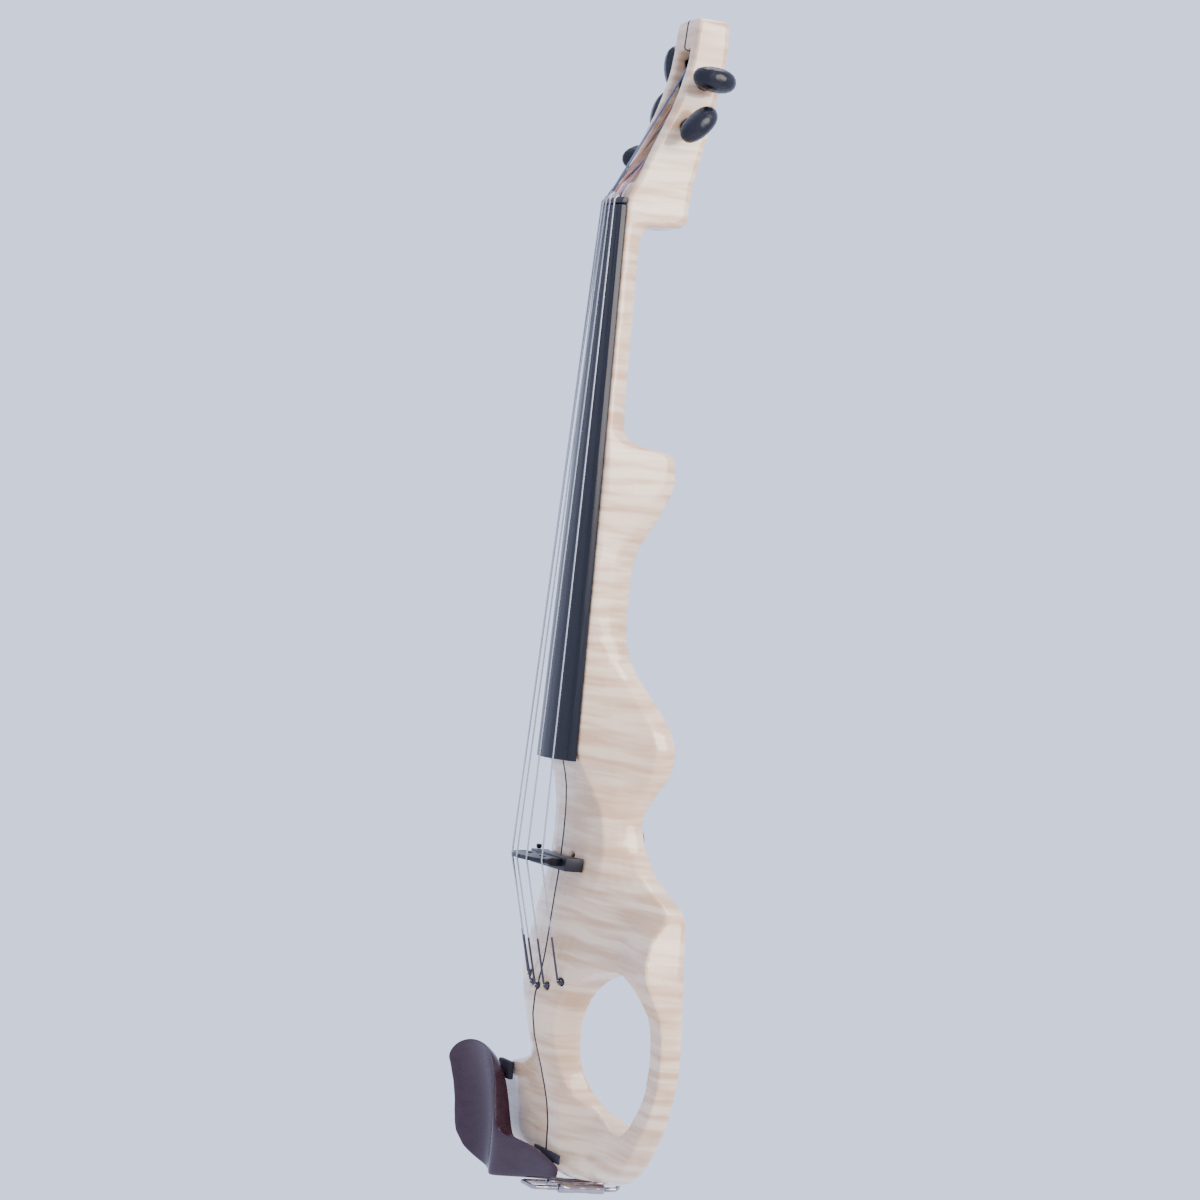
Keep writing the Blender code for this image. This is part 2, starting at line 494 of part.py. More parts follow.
def make_bridge(treble):
    """Arched blade on a foot block, with a screwed stub where the pickup's lead goes in."""
    seat_y = front_y_at(treble, BRIDGE_Z)
    base_back = [(x, seat_y - 2 * GAP + 7.4 * (x / 34.0) ** 2) for x in (-24, -16, -8, 0, 8, 16, 24)]
    block = [(24.0, -1.4), (-24.0, -1.4), *base_back]
    low = [(x, y, BRIDGE_Z - 4.2) for x, y in block]
    high = [(x, y, BRIDGE_Z + 2.6) for x, y in block]
    place("bridge_foot_block", lofted("bridge_foot_block", [low, high]), BLACK)

    crown = [22.5 * math.cos(math.pi * k / 14) for k in range(15)]
    arch = [(x, bridge_crown_y(x) + STRING_RADIUS + GAP) for x in crown]
    outline = [(18.5, -1.7), (19.5, -7.0), *arch, (-19.5, -7.0), (-18.5, -1.7)]
    blade = lofted("bridge_blade", [
        [(x, y, BRIDGE_Z - (1.0 if y < -10 else 2.2)) for x, y in outline],
        [(x, y, BRIDGE_Z + (1.0 if y < -10 else 1.6)) for x, y in outline],
    ])
    blade_obj = place("bridge_blade", blade, BLACK)
    for x in (-9.0, 9.0):
        outline = [(x - 4.2, -6.2), (x + 4.2, -6.2), (x + 2.6, -9.0), (x - 2.6, -9.0)]
        window = prism("bridge_window", outline, 12.0)
        cut(blade_obj, place("bridge_window_cutter", window, at=(0, 0, BRIDGE_Z)))
    stub = ((0.0, 5.2), (1.1, 5.2), (1.4, 4.9), (1.4, 3.4), (1.0, 3.2), (1.0, 2.9), (0.0, 2.9))
    turned("bridge_lead_stub", stub, 16, BLACK, (-21.0, 1.6, BRIDGE_Z), Matrix())


def string_x(spacing, index):
    return spacing * (index - (STRING_COUNT - 1) / 2)


def make_strings(treble, bass, halves, veneer):
    """Strings from bass to treble, their anchors in the front, and what holds each end."""
    peg_of_string = (1, 3, 5, 4, 2)
    for index in range(STRING_COUNT):
        number = index + 1
        anchor_x = string_x(ANCHOR_SPACING, index)
        anchor_z = -391.5 + 0.018 * anchor_x**2
        front_y, facet_x, facet_y = section_at(bass if anchor_x < 0 else treble, anchor_z)[:3]
        surface_y = front_y + (facet_y - front_y) * (anchor_x / facet_x) ** 2
        bridge_x = string_x(BRIDGE_SPACING, index)
        bridge = Vector((bridge_x, bridge_crown_y(bridge_x), BRIDGE_Z))
        anchor = Vector((anchor_x, surface_y, anchor_z))
        dive = ANCHOR_DIRECTION
        nut_x = string_x(NUT_SPACING, index)
        nut_y = NUT_TOP_Y + BOARD_RADIUS - math.sqrt(BOARD_RADIUS**2 - nut_x**2)
        nut = Vector((nut_x, nut_y, 1.2))
        peg_y, peg_z = PEGS[peg_of_string[index] - 1][1:]
        wrap_x = string_x(WRAP_SPACING, index)
        shaft = Vector((wrap_x, peg_y - PEG_SHAFT_RADIUS - STRING_RADIUS - GAP, peg_z))
        path = [anchor + dive * 5.3, anchor - dive * 1.3, bridge, nut, shaft]
        place(f"string_{number}", rod(f"string_{number}", path, STRING_RADIUS), STEEL)

        drill_mesh = cylinder_mesh("anchor_hole", 1.9, 14.0, 16)
        drill = place(f"anchor_drill_{number}", drill_mesh, at=anchor + dive * 4.5, turn=along(dive))
        drilled = (*halves, veneer) if anchor_x == 0 else (halves[anchor_x < 0],)
        for piece in drilled:
            cut(piece, drill)
        collar = ((1.6, 0.6), (1.6, -5.5), (0.8, -5.5), (0.8, 0.6), (1.6, 0.6))
        turned(f"string_ferrule_{number}", collar, 16, CHROME, anchor, along(-dive))
        ball = ((0.0, 1.2), (1.0, 0.9), (1.5, 0.0), (1.0, -0.9), (0.0, -1.2))
        turned(f"string_ball_{number}", ball, 12, CHROME, anchor + dive * 7.3, along(-dive))


def make_pegs():
    """Ebony pegs: shaft, collar and an oval thumb-piece flattened across the shaft."""
    for number, (side, y, z) in enumerate(PEGS, 1):
        obj_turn = along((side, 0, 0))
        profile = (
            (0.0, 20.5), (2.3, 20.2), (2.9, 19.2), (3.1, 17.6), (4.3, 17.0), (4.5, 15.9), (4.1, 15.0),
            (PEG_SHAFT_RADIUS, 14.9), (PEG_SHAFT_RADIUS, 0.5 - PEG_TIP), (PEG_SHAFT_RADIUS - 0.5, -PEG_TIP),
            (0.0, -PEG_TIP),
        )
        peg = turned(f"peg_{number}", profile, 20, BLACK, (0, y, z), obj_turn)
        bm = bmesh.new()
        bmesh.ops.create_uvsphere(bm, u_segments=20, v_segments=12, radius=1.0)
        for vert in bm.verts:
            pinch = 1.0 - 0.42 * max(0.0, -vert.co.z)
            half_sizes = Vector((THUMB_HALF_THICK * pinch, THUMB_HALF_WIDE * pinch, THUMB_HALF_DEEP))
            vert.co = vert.co * half_sizes * MM
        rest_turn = obj_turn @ Matrix.Rotation(math.radians(PEG_REST_TURNS[number - 1]), 4, "Z")
        thumb_at = (side * THUMB_OFFSET, y, z)
        thumb = place(f"peg_thumb_{number}", mesh_of(bm, "peg_thumb"), at=thumb_at, turn=rest_turn)
        union = peg.modifiers.new("Thumb", "BOOLEAN")
        union.operation = "UNION"
        union.object = thumb


def chinrest_ring(station):
    x, z_high, z_low, rim_y, dish, back_y = station
    middle = (z_high + z_low) / 2
    half = (z_high - z_low) / 2
    ring = []
    for k in range(9):
        across = math.cos(math.pi * k / 8)
        y = rim_y + dish * (1 - across**2) ** 0.8
        ring.append((x, y + 1.2 * across**8, middle + half * across))
    thick = back_y - rim_y
    for k in range(1, 6):
        across = -math.cos(math.pi * k / 6)
        ring.append((x, rim_y + thick * (1 - 0.25 * across**4), middle + half * 0.96 * across))
    share = min(max((CUP_START_X - x) / (CUP_START_X - CUP_FULL_X), 0.0), 1.0)
    lean = CUP_LEAN * share / (z_high - z_low)
    return [(px, py + lean * (WING_CORK_Z - pz), pz) for px, py, pz in ring]


def make_chinrest():
    """Chin rest over the end of the body, its cup on the bass side, on cork and a screw clamp."""
    rings = [chinrest_ring(station) for station in CHINREST]
    place("chin_rest", lofted("chin_rest", rings), ROSEWOOD)
    end_pad = box_mesh("cork_end_pad", (34.0, 1.0, 4.6), 0.2)
    place("cork_end_pad", end_pad, CORK, (CLAMP_CENTER_X, 12.85, -475.2))
    wing_pad = box_mesh("cork_wing_pad", (16.0, 2.7, 9.0), 0.4)
    place("cork_wing_pad", wing_pad, CORK, (-50.0, 7.35, WING_CORK_Z))


def clamp_x(side):
    return CLAMP_CENTER_X + side * CLAMP_HALF_SPACING


def bend(points, radius=2.2, steps=4):
    """A path whose inner corners are rounded."""
    found = [Vector(points[0])]
    for before, corner, after in zip(points, points[1:], points[2:]):
        corner = Vector(corner)
        start = corner + (Vector(before) - corner).normalized() * radius
        end = corner + (Vector(after) - corner).normalized() * radius
        for k in range(steps + 1):
            t = k / steps
            found.append(start * (1 - t) ** 2 + corner * 2 * t * (1 - t) + end * t * t)
    return found + [Vector(points[-1])]


def make_clamp():
    """Two wire brackets joined by two barrels with left and right threads."""
    wire = 1.15
    front_y, back_y = 4.0, 49.6
    near, far = clamp_x(1), clamp_x(-1)
    upper = bend([
        (far, BARREL_FRONT_Y - GAP, CLAMP_Z), (far, front_y, CLAMP_Z),
        (near, front_y, CLAMP_Z), (near, BARREL_FRONT_Y - GAP, CLAMP_Z),
    ])
    place("clamp_upper_bracket", rod("clamp_upper_bracket", upper, wire, 2), CHROME)
    lower = bend([
        (far, BARREL_BACK_Y + GAP, CLAMP_Z), (far, back_y, CLAMP_Z), (far, back_y, CLAMP_Z + 7.0),
        (near, back_y, CLAMP_Z + 7.0), (near, back_y, CLAMP_Z), (near, BARREL_BACK_Y + GAP, CLAMP_Z),
    ])
    place("clamp_lower_bracket", rod("clamp_lower_bracket", lower, wire, 2), CHROME)


def make_barrels():
    """Turnbuckle barrels with a tommy-bar hole, between the brackets' threaded ends."""
    length = BARREL_BACK_Y - BARREL_FRONT_Y - 2 * GAP
    for number, side in enumerate((-1, 1), 1):
        profile = (
            (0.0, length / 2), (1.9, length / 2), (2.5, length / 2 - 0.8), (2.5, 4.2), (2.2, 3.8),
            (2.2, -3.8), (2.5, -4.2), (2.5, 0.8 - length / 2), (1.9, -length / 2), (0.0, -length / 2),
        )
        center = (clamp_x(side), (BARREL_FRONT_Y + BARREL_BACK_Y) / 2, CLAMP_Z)
        barrel = turned(f"clamp_barrel_{number}", profile, 16, CHROME, center, along((0, 1, 0)))
        pin = cylinder_mesh("tommy_hole", 0.8, 12.0, 12)
        cut(barrel, place(f"tommy_drill_{number}", pin, at=center, turn=Matrix()))


def make_electrics(halves):
    """Output jack let into the back of the treble half, and the pickup's lead to it."""
    body = halves[0]
    socket_depth = 17.0
    pocket = cylinder_mesh("jack_pocket", 7.4, 8.0, 28)
    cut(body, place("jack_pocket_drill", pocket, at=JACK + Vector((0, 2.6, 0)), turn=along((0, 1, 0))))
    bore = cylinder_mesh("jack_bore", 5.3, 2 * socket_depth, 24)
    cut(body, place("jack_bore_drill", bore, at=JACK + Vector((0, -1.4, 0)), turn=along((0, 1, 0))))
    barrel = ((5.0, 2.4), (5.0, -16.0), (3.2, -16.0), (3.2, 2.4), (5.0, 2.4))
    turned("output_jack_socket", barrel, 20, CHROME, JACK, along((0, 1, 0)))
    ring = ((6.6, 1.6), (7.0, 1.2), (7.0, -1.0), (5.3, -1.0), (5.3, 1.6), (6.6, 1.6))
    turned("output_jack_nut", ring, 24, CHROME, JACK, along((0, 1, 0)))
    start = Vector((10.0, 4.6, BRIDGE_Z + 0.5))
    end = JACK + Vector((0.0, -17.5, 0.0))
    run = (end - start).normalized()
    channel = rod("lead_channel", [start - run * 3.0, end + run * 2.0], 1.5, 2)
    cut(body, place("lead_channel_drill", channel))
    lead = rod("pickup_lead", [start + run * 3.4, end + run * 0.6], 0.9, 1)
    place("pickup_lead", lead, WIRE)


def main():
    treble = {**HEAD_AND_NECK, **HEEL_AND_WAIST, **TREBLE_BOUT}
    bass = {**HEAD_AND_NECK, **HEEL_AND_WAIST, **BASS_BOUT}
    halves, veneer = make_wood(treble, bass)
    make_fingerboard_and_nut()
    make_bridge(treble)
    make_strings(treble, bass, halves, veneer)
    make_pegs()
    make_chinrest()
    make_clamp()
    make_barrels()
    make_electrics(halves)


clear_scene()
parts = new_collection("five_string_electric_violin")
cutters = new_collection("cutters")
rig = bpy.data.objects.new("makers_frame", None)
parts.objects.link(rig)
rig.location = Vector((0.0, -HANG_Y, -HEAD_TOP)) * MM
main()
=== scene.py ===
import json
import math

import bmesh
import bpy
from mathutils import Matrix, Vector


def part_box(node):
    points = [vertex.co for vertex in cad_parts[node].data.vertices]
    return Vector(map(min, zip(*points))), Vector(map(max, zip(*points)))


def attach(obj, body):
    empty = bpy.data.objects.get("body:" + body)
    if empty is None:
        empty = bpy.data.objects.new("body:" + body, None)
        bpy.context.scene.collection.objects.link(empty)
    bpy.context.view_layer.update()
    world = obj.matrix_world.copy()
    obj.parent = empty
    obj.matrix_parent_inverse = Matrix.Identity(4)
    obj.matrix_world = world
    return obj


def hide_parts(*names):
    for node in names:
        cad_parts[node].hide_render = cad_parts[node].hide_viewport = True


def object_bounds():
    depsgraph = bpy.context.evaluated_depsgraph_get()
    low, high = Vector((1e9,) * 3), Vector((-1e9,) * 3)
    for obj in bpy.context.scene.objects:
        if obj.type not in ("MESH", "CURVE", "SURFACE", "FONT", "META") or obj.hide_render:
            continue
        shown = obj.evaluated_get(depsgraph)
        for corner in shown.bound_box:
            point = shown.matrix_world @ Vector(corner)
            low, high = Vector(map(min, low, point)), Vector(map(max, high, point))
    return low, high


bl_info = {
    "name": "Five-string electric violin",
    "version": (1, 0, 0),
    "blender": (4, 5, 0),
    "location": "View3D > Sidebar > Violin",
    "description": "Wood, fittings and stage of a solid-body electric violin",
    "category": "Object",
}

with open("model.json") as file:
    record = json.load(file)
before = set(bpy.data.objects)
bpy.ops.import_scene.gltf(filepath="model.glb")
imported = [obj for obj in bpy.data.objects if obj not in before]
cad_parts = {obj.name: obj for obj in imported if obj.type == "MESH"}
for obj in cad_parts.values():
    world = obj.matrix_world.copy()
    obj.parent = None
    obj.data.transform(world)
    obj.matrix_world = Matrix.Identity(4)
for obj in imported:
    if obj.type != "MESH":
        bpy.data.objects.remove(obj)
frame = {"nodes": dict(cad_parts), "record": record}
cad_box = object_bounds()

RECORD = frame["record"]
BODY_OF = {node: body for body, nodes in RECORD["behaviour"]["bodies"].items() for node in nodes}
JOINTS = {joint["child"]: joint for joint in RECORD["behaviour"]["joints"]}
STRING_COUNT = 5
PEG_OF_STRING = (1, 3, 5, 4, 2)

# The camera: what it looks at, how far off it stands, and how it is turned
VIEW_TARGET = Vector((0.0, -0.0237, -0.2944))
VIEW_DISTANCE = 1.8
VIEW_AZIMUTH = math.radians(68.0)
VIEW_ROLL = math.radians(5.9)
LENS_MM = 108.0

# A peg's thumb-piece, and how much of its half sizes the hollow in it takes up
THUMB_HALF_WIDE = 0.0116
THUMB_HALF_DEEP = 0.0088
HOLLOW_WIDE_SHARE = 0.88
HOLLOW_DEEP_SHARE = 0.86
THUMB_REACH_SHARE = 0.9

# Threads: the radius that each is wound at, and its own radius
SILK_COIL_RADIUS = 0.00042
SILK_RADIUS = 0.00020
PEG_WINDING_COIL_RADIUS = 0.00362
PEG_WINDING_RADIUS = 0.0004
PEG_WINDING_TURNS = 4
CLAMP_THREAD_COIL_RADIUS = 0.00108
CLAMP_THREAD_RADIUS = 0.00022
CLAMP_THREAD_PITCH = 0.0007
CLAMP_THREAD_SET_BACK = 0.0006
UPPER_THREAD_LENGTH = 0.0050
LOWER_THREAD_LENGTH = 0.0024

# How far along its run a string's silk starts at the nut and ends above the body
NUT_SILK_START = 0.06
TAIL_SILK_END = 0.36

# Bends of a string that lie closer together than this along z are one bend
BEND_SPACING = 0.0012

# How far each half of the wood passes the glue line before the halves are joined
GLUE_OVERLAP = 0.0008
GLUE_FACE_DEPTH = 0.0001
DOUBLES_DISTANCE = 0.000002
FLAT_ANGLE = math.radians(0.6)
BEVEL_SEGMENTS = 3
CHIN_REST_SUBDIVISIONS = 3
PEG_SMOOTHING = 3


class Socket:
    """A value in a shader; arithmetic on it adds Math nodes."""

    def __init__(self, graph, output):
        self.graph = graph
        self.output = output

    def __add__(self, other):
        return self.graph.math("ADD", self, other)

    def __rsub__(self, other):
        return self.graph.math("SUBTRACT", other, self)

    def __mul__(self, other):
        return self.graph.math("MULTIPLY", self, other)

    def __abs__(self):
        return self.graph.math("ABSOLUTE", self)

    __radd__ = __add__
    __rmul__ = __mul__


class Finish:
    """A material whose varying inputs are written as expressions."""

    def __init__(self, name, **constants):
        self.material = bpy.data.materials.new(name)
        self.material.use_nodes = True
        self.tree = self.material.node_tree
        self.shader = self.tree.nodes["Principled BSDF"]
        for key, value in constants.items():
            self.shader.inputs[key.replace("_", " ")].default_value = value

    def node(self, kind, settings, sockets, output=0):
        made = self.tree.nodes.new(kind)
        stops = settings.pop("stops", None)
        for key, value in settings.items():
            setattr(made, key, value)
        if stops:
            for element, (place, shade) in zip(made.color_ramp.elements, stops):
                element.position = place
                element.color = (shade, shade, shade, 1.0)
        for key, value in sockets.items():
            self.feed(made.inputs[key], value)
        return Socket(self, made.outputs[output])

    def feed(self, socket, value):
        if isinstance(value, Socket):
            self.tree.links.new(value.output, socket)
        else:
            socket.default_value = value

    def set(self, key, value):
        self.feed(self.shader.inputs[key], value)

    def math(self, operation, *values):
        return self.node("ShaderNodeMath", {"operation": operation}, dict(enumerate(values)))

    def position(self):
        where = self.node("ShaderNodeTexCoord", {}, {}, "Object")
        return [self.node("ShaderNodeSeparateXYZ", {}, {0: where}, axis) for axis in "XYZ"]

    def noise(self, x, y, z, detail=2.0):
        where = self.node("ShaderNodeCombineXYZ", {}, {0: x, 1: y, 2: z})
        return self.node("ShaderNodeTexNoise", {}, {"Vector": where, "Scale": 1.0, "Detail": detail})

    def between(self, value, low, high):
        stops = [(low, 0.0), (high, 1.0)]
        return self.node("ShaderNodeValToRGB", {"stops": stops}, {0: value})

    def mix(self, factor, first, second):
        colors = {0: factor, 6: first, 7: second}
        return self.node("ShaderNodeMix", {"data_type": "RGBA"}, colors, 2)

    def bump(self, height, distance, strength=1.0):
        sockets = {"Height": height, "Distance": distance, "Strength": strength}
        self.set("Normal", self.node("ShaderNodeBump", {}, sockets))


def opaque(color):
    return (*color, 1.0)


def flamed_maple(colors):
    """Bookmatched maple: the figure is mirrored at the glue line and runs across the grain."""
    finish = Finish("flamed_maple", Coat_Weight=0.55, Coat_Roughness=0.06, IOR=1.5)
    x, y, z = finish.position()
    across = abs(x)
    sway = finish.noise(across * 22.0, y * 22.0, z * 26.0)
    figure_z = z + sway * 0.005 + across * 0.06
    broad = finish.noise(across * 22.0, y * 22.0, figure_z * 230.0, 1.0)
    fine = finish.noise(across * 60.0, y * 60.0, figure_z * 560.0, 2.0)
    flame = finish.between(broad * 0.75 + fine * 0.25, 0.38, 0.60)
    patch = finish.between(finish.noise(across * 16.0, y * 16.0, z * 13.0), 0.38, 0.66)
    grain = finish.between(finish.noise(across * 1500.0, y * 1500.0, z * 45.0, 3.0), 0.25, 0.75)
    wood = finish.mix(flame, opaque(colors.maple_dark), opaque(colors.maple_light))
    blush = finish.mix(patch * 0.30, wood, opaque(colors.maple_blush))
    finish.set("Base Color", finish.mix(grain * 0.10, blush, opaque(colors.maple_dark)))
    finish.set("Roughness", 0.30 - flame * 0.10)
    finish.bump(flame * 0.4 + grain * 0.6, 0.00005)
    return finish.material


def streaked(name, dark, light, along_z, rough, constants):
    """Oiled or polished dark wood with pores drawn out along its grain."""
    finish = Finish(name, **constants)
    x, y, z = finish.position()
    if along_z:
        pores = finish.noise(x * 1300.0, y * 1300.0, z * 60.0, 3.0)
        bands = finish.noise(x * 260.0, y * 260.0, z * 9.0, 2.0)
    else:
        pores = finish.noise(x * 70.0, y * 1300.0, z * 1300.0, 3.0)
        bands = finish.noise(x * 12.0, y * 260.0, z * 240.0, 2.0)
    shade = finish.between(pores * 0.5 + bands * 0.5, 0.35, 0.65)
    finish.set("Base Color", finish.mix(shade, opaque(dark), opaque(light)))
    finish.set("Roughness", rough + shade * 0.10)
    finish.bump(pores, 0.00004)
    return finish.material


def plated(name, color, rough):
    finish = Finish(name, Metallic=1.0)
    x, y, z = finish.position()
    wear = finish.between(finish.noise(x * 380.0, y * 380.0, z * 380.0, 4.0), 0.35, 0.75)
    dull = (color[0] * 0.82, color[1] * 0.82, color[2] * 0.84)
    finish.set("Base Color", finish.mix(wear, opaque(color), opaque(dull)))
    finish.set("Roughness", rough + wear * 0.12)
    return finish.material


def wound_steel(color):
    """Flat-wound string: narrow bands along it, with painted shade darkening the grooves between them."""
    finish = Finish("wound_steel", Metallic=1.0)
    x, y, z = finish.position()
    bands = finish.node("ShaderNodeMath", {"operation": "PINGPONG"}, {0: z, 1: 0.00035}) * 2800.0
    # Painted shade: the base colour goes darker where the bands dip into the grooves between windings
    finish.set("Base Color", finish.mix(bands, opaque((0.30, 0.29, 0.31)), opaque(color)))
    finish.set("Roughness", 0.42 - bands * 0.10)
    finish.bump(bands, 0.00003)
    return finish.material


def pressed_cork(color):
    finish = Finish("pressed_cork", Specular_IOR_Level=0.3)
    x, y, z = finish.position()
    crumbs = finish.noise(x * 900.0, y * 900.0, z * 900.0, 3.0)
    lighter = (color[0] * 2.6, color[1] * 2.4, color[2] * 2.4)
    finish.set("Base Color", finish.mix(crumbs, opaque(color), opaque(lighter)))
    finish.set("Roughness", 0.75 + crumbs * 0.15)
    finish.bump(crumbs, 0.0002)
    return finish.material


def spun_silk(name, color):
    finish = Finish(name, Sheen_Weight=0.4)
    x, y, z = finish.position()
    fibers = finish.noise(x * 4000.0, y * 4000.0, z * 1500.0, 2.0)
    darker = (color[0] * 0.55, color[1] * 0.55, color[2] * 0.55)
    finish.set("Base Color", finish.mix(fibers, opaque(darker), opaque(color)))
    finish.set("Roughness", 0.45 + fibers * 0.2)
    return finish.material


def merged(node):
    """A copy of a CAD node with its loose triangles joined."""
    bm = bmesh.new()
    bm.from_mesh(frame["nodes"][node].data)
    bmesh.ops.remove_doubles(bm, verts=bm.verts, dist=DOUBLES_DISTANCE)
    return bm


def to_mesh(bm, name):
    mesh = bpy.data.meshes.new(name)
    bm.to_mesh(mesh)
    bm.free()
    return mesh


def evaluated(name, mesh, steps):
    """The mesh after modifiers, each given as its type and its settings."""
    holder = bpy.data.objects.new(name + "_work", mesh)
    bpy.context.scene.collection.objects.link(holder)
    for kind, settings in steps:
        modifier = holder.modifiers.new(kind.title(), kind)
        for key, value in settings.items():
            setattr(modifier, key, value)
    graph = bpy.context.evaluated_depsgraph_get()
    result = bpy.data.meshes.new_from_object(holder.evaluated_get(graph))
    bpy.data.objects.remove(holder)
    result.name = name
    return result


def show(name, mesh, finish, nodes=(), body=None, sharp_angle=None):
    """A finished piece at the origin, riding on its body and standing for its CAD nodes."""
    mesh.materials.clear()
    mesh.materials.append(finish)
    mesh.shade_smooth()
    if sharp_angle:
        mesh.set_sharp_from_angle(angle=math.radians(sharp_angle))
    piece = bpy.data.objects.new(name, mesh)
    bpy.context.scene.collection.objects.link(piece)
    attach(piece, body or BODY_OF[nodes[0]])
    if nodes:
        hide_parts(*nodes)
    return piece


def eased(node, finish, edge, sharp_angle=38.0):
    """A CAD node with its edges eased by a small round."""
    bm = merged(node)
    bmesh.ops.dissolve_limit(bm, angle_limit=FLAT_ANGLE, verts=bm.verts, edges=bm.edges)
    bevel = {
        "width": edge, "segments": BEVEL_SEGMENTS, "limit_method": "ANGLE",
        "angle_limit": math.radians(sharp_angle), "use_clamp_overlap": True,
    }
    mesh = evaluated(node + "_visual", to_mesh(bm, node), [("BEVEL", bevel)] if edge else [])
    return show(node + "_visual", mesh, finish, (node,), sharp_angle=sharp_angle)


def remeshed(name, mesh, voxel, smoothing):
    remesh = {"mode": "VOXEL", "voxel_size": voxel, "use_smooth_shade": True}
    smooth = {"factor": 0.5, "iterations": smoothing}
    return evaluated(name, mesh, [("REMESH", remesh), ("SMOOTH", smooth)])


def closed_slice(mesh, name, low_x, high_x):
    """The part of a solid between two upright planes, its cut faces filled."""
    bm = bmesh.new()
    bm.from_mesh(mesh)
    for at_x, outward in ((low_x, -1.0), (high_x, 1.0)):
        if at_x is None:
            continue
        everything = [*bm.verts, *bm.edges, *bm.faces]
        bmesh.ops.bisect_plane(
            bm, geom=everything, dist=1e-7, plane_co=(at_x, 0, 0), plane_no=(outward, 0, 0), clear_outer=True
        )
        rim = [edge for edge in bm.edges if edge.is_boundary]
        bmesh.ops.triangle_fill(bm, edges=rim, use_beauty=True, use_dissolve=False, normal=(outward, 0, 0))
    return to_mesh(bm, name)


def joined_wood():
    """Both halves as one mesh that overlaps at the glue line, ready to be remeshed as one solid."""
    both = bmesh.new()
    for node, side in (("body_treble_half", 1), ("body_bass_half", -1)):
        half = merged(node)
        glue_x = min(abs(vert.co.x) for vert in half.verts)
        for vert in half.verts:
            if abs(vert.co.x) < glue_x + GLUE_FACE_DEPTH:
                vert.co.x = -side * GLUE_OVERLAP
        mesh = to_mesh(half, node + "_copy")
        both.from_mesh(mesh)
    return to_mesh(both, "joined_wood")


def string_route(index):
    """The centres of a string's bends, from its peg down to its anchor."""
    vertices = frame["nodes"][f"string_{index}"].data.vertices
    places = {tuple(round(value, 6) for value in vertex.co) for vertex in vertices}
    points = sorted(places, key=lambda place: -place[2])
    groups = [[Vector(points[0])]]
    for point in points[1:]:
        if groups[-1][-1].z - point[2] > BEND_SPACING:
            groups.append([])
        groups[-1].append(Vector(point))
    return [sum(group, Vector()) / len(group) for group in groups]


def coil_tree():
    """Geometry nodes: a thread wound on a straight core."""
    tree = bpy.data.node_groups.new("wound_thread", "GeometryNodeTree")
    interface = tree.interface
    interface.new_socket("Geometry", in_out="OUTPUT", socket_type="NodeSocketGeometry")
    interface.new_socket("Geometry", in_out="INPUT", socket_type="NodeSocketGeometry")
    for name in ("Coil Radius", "Length", "Turns", "Thread Radius"):
        interface.new_socket(name, in_out="INPUT", socket_type="NodeSocketFloat")
    interface.new_socket("Finish", in_out="INPUT", socket_type="NodeSocketMaterial")
    nodes = tree.nodes
    given = nodes.new("NodeGroupInput")
    spiral = nodes.new("GeometryNodeCurveSpiral")
    profile = nodes.new("GeometryNodeCurvePrimitiveCircle")
    skin = nodes.new("GeometryNodeCurveToMesh")
    real = nodes.new("GeometryNodeRealizeInstances")
    painted = nodes.new("GeometryNodeSetMaterial")
    result = nodes.new("NodeGroupOutput")
    spiral.inputs["Resolution"].default_value = 14
    profile.inputs["Resolution"].default_value = 5
    skin.inputs["Fill Caps"].default_value = True
    for source, target in (
        (given.outputs["Coil Radius"], spiral.inputs["Start Radius"]),
        (given.outputs["Coil Radius"], spiral.inputs["End Radius"]),
        (given.outputs["Length"], spiral.inputs["Height"]),
        (given.outputs["Turns"], spiral.inputs["Rotations"]),
        (given.outputs["Thread Radius"], profile.inputs["Radius"]),
        (spiral.outputs["Curve"], skin.inputs["Curve"]),
        (profile.outputs["Curve"], skin.inputs["Profile Curve"]),
        (skin.outputs["Mesh"], real.inputs["Geometry"]),
        (real.outputs["Geometry"], painted.inputs["Geometry"]),
        (given.outputs["Finish"], painted.inputs["Material"]),
        (painted.outputs["Geometry"], result.inputs["Geometry"]),
    ):
        tree.links.new(source, target)
    return tree


def wound(name, start, end, coil_radius, pitch, thread_radius, finish):
    """A thread wound round the line from start to end, as a plain mesh."""
    tree = bpy.data.node_groups.get("wound_thread") or coil_tree()
    length = (end - start).length
    holder = bpy.data.objects.new(name + "_work", bpy.data.meshes.new(name + "_work"))
    bpy.context.scene.collection.objects.link(holder)
    modifier = holder.modifiers.new("Winding", "NODES")
    modifier.node_group = tree
    values = {
        "Coil Radius": coil_radius, "Length": length, "Turns": length / pitch,
        "Thread Radius": thread_radius, "Finish": finish,
    }
    for item in tree.interface.items_tree:
        if item.in_out == "INPUT" and item.name in values:
            modifier[item.identifier] = values[item.name]
    graph = bpy.context.evaluated_depsgraph_get()
    mesh = bpy.data.meshes.new_from_object(holder.evaluated_get(graph))
    bpy.data.objects.remove(holder)
    mesh.name = name
    turn = (end - start).to_track_quat("Z", "Y").to_matrix().to_4x4()
    mesh.transform(Matrix.Translation(start) @ turn)
    return mesh


